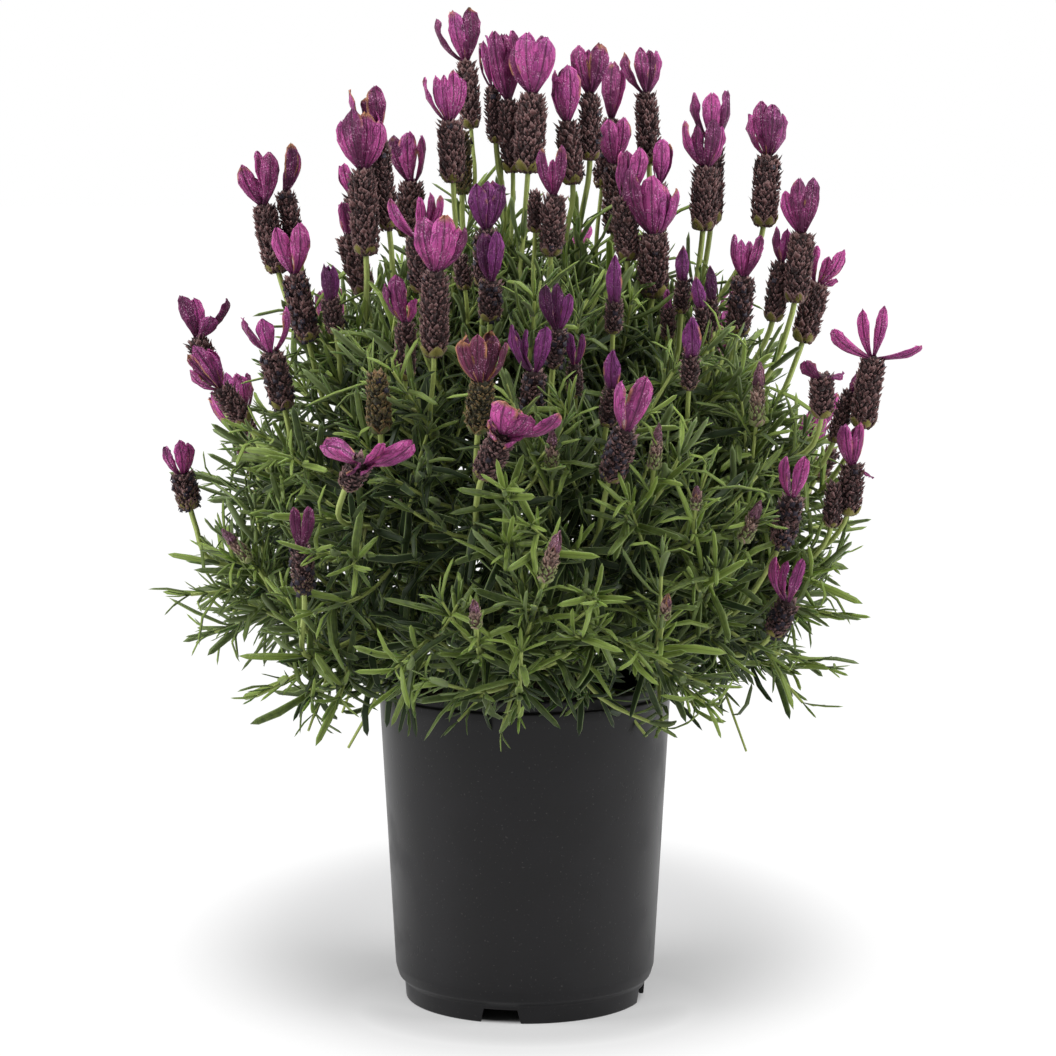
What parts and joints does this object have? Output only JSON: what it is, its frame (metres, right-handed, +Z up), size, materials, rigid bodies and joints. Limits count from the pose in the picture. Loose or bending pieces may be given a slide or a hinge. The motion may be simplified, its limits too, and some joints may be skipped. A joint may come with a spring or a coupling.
{
  "type": "potted lavender",
  "caption": "Bushy lavender with dark flower spikes topped by magenta ears, standing in soil in a tapered black nursery pot.",
  "frame": {"origin": "on the pot's axis, on the surface that the pot stands on", "axes": "+Z up along the pot's axis, -Y towards the front of the plant as pictured, +X to its right"},
  "size_m": [0.3243, 0.3295, 0.4408],
  "materials": {
    "pot_plastic": "satin",
    "peat": "matte",
    "foliage": "matte",
    "flower": "satin"
  },
  "bodies": {
    "root": {"pot": "pot_plastic", "potting_soil": "peat", "leafy_branch_1": "foliage", "leafy_branch_2": "foliage", "leafy_branch_3": "foliage", "leafy_branch_4": "foliage", "leafy_branch_5": "foliage", "flower_head_01": "flower", "flower_head_02": "flower", "flower_head_03": "flower", "flower_head_04": "flower", "flower_head_05": "flower", "flower_head_06": "flower", "flower_head_07": "flower", "flower_head_08": "flower", "flower_head_09": "flower", "flower_head_10": "flower", "flower_head_11": "flower", "flower_head_12": "flower", "flower_head_13": "flower", "flower_head_14": "flower", "flower_head_15": "flower", "flower_head_16": "flower", "flower_head_17": "flower", "flower_head_18": "flower", "flower_head_19": "flower", "flower_head_20": "flower", "flower_head_21": "flower", "flower_head_22": "flower", "flower_head_23": "flower", "flower_head_24": "flower", "flower_head_25": "flower", "flower_head_26": "flower", "flower_head_27": "flower", "flower_head_28": "flower", "flower_head_29": "flower", "flower_head_30": "flower", "flower_head_31": "flower", "flower_head_32": "flower", "flower_head_33": "flower", "flower_head_34": "flower", "flower_head_35": "flower", "flower_head_36": "flower", "flower_head_37": "flower", "flower_head_38": "flower", "flower_head_39": "flower", "flower_head_40": "flower", "flower_head_41": "flower", "flower_head_42": "flower", "flower_head_43": "flower", "flower_head_44": "flower", "flower_head_45": "flower", "flower_head_46": "flower", "flower_head_47": "flower", "flower_head_48": "flower", "flower_head_49": "flower", "flower_head_50": "flower", "flower_head_51": "flower", "flower_head_52": "flower"}
  },
  "joints": []
}
